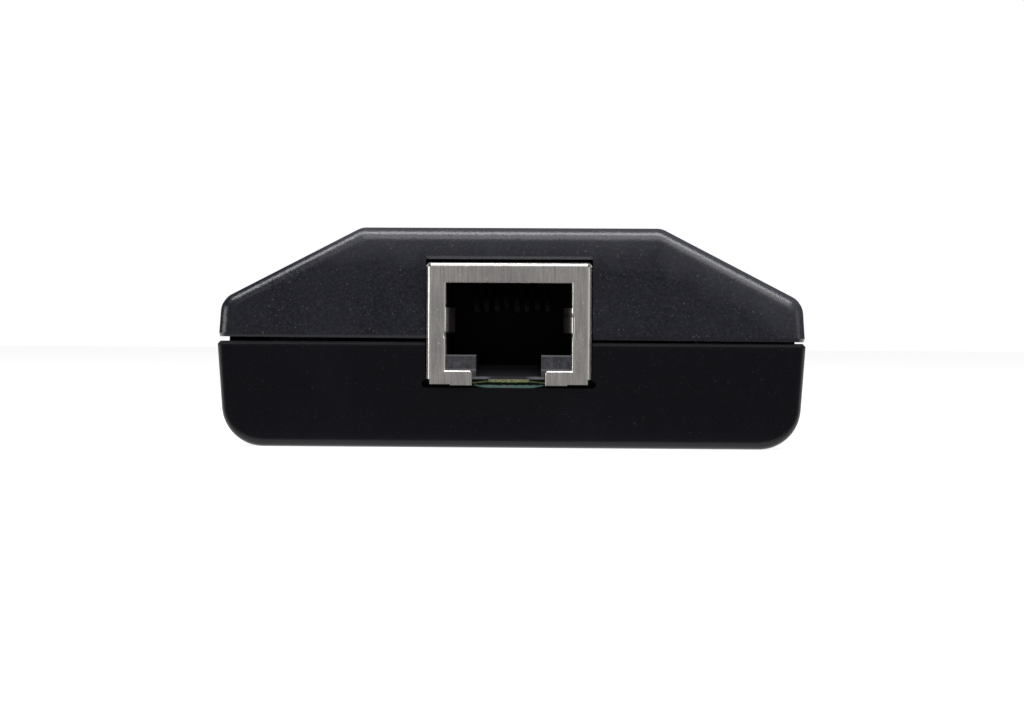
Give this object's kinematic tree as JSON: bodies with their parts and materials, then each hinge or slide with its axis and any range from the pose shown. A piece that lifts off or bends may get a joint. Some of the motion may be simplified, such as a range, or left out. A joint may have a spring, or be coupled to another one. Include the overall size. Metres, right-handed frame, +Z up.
{
  "type": "kvm dongle",
  "caption": "Small adapter box with a sloping-sided moulded case, a shielded network jack in front and two cable glands behind.",
  "frame": {"origin": "centre of the bottom face of the overall box", "axes": "+X to the right seen from the jack side, +Y towards the rear with the cable glands, +Z up"},
  "size_m": [0.0566, 0.0908, 0.0213],
  "materials": {
    "upper_shell": "fine spark-eroded texture",
    "lower_shell": "fine satin texture",
    "board": "green solder mask on glass-fibre laminate",
    "shield": "satin nickel plate, fine vertical grain",
    "jack_housing": "moulded black",
    "contact": "gold plate over bronze",
    "package": "moulded black",
    "can": "drawn can",
    "ferrite": "ferrite",
    "capacitor": "ceramic",
    "resistor": "glazed ceramic",
    "header": "moulded off-white",
    "pins": "tin plate over brass",
    "gland": "moulded black"
  },
  "bodies": {
    "root": {"upper_shell": "upper_shell", "lower_shell": "lower_shell", "circuit_board": "board", "jack_shield": "shield", "jack_housing": "jack_housing", "controller_chip": "package", "line_driver_chip": "package", "memory_chip": "package", "crystal": "can", "voltage_regulator": "package", "power_inductor": "ferrite", "chip_capacitors": "capacitor", "chip_resistors": "resistor", "video_header": "header", "usb_header": "header", "video_header_pins": "pins", "usb_header_pins": "pins", "jack_contact_1": "contact", "jack_contact_2": "contact", "jack_contact_3": "contact", "jack_contact_4": "contact", "jack_contact_5": "contact", "jack_contact_6": "contact", "jack_contact_7": "contact", "jack_contact_8": "contact", "video_gland": "gland", "usb_gland": "gland"}
  },
  "joints": []
}
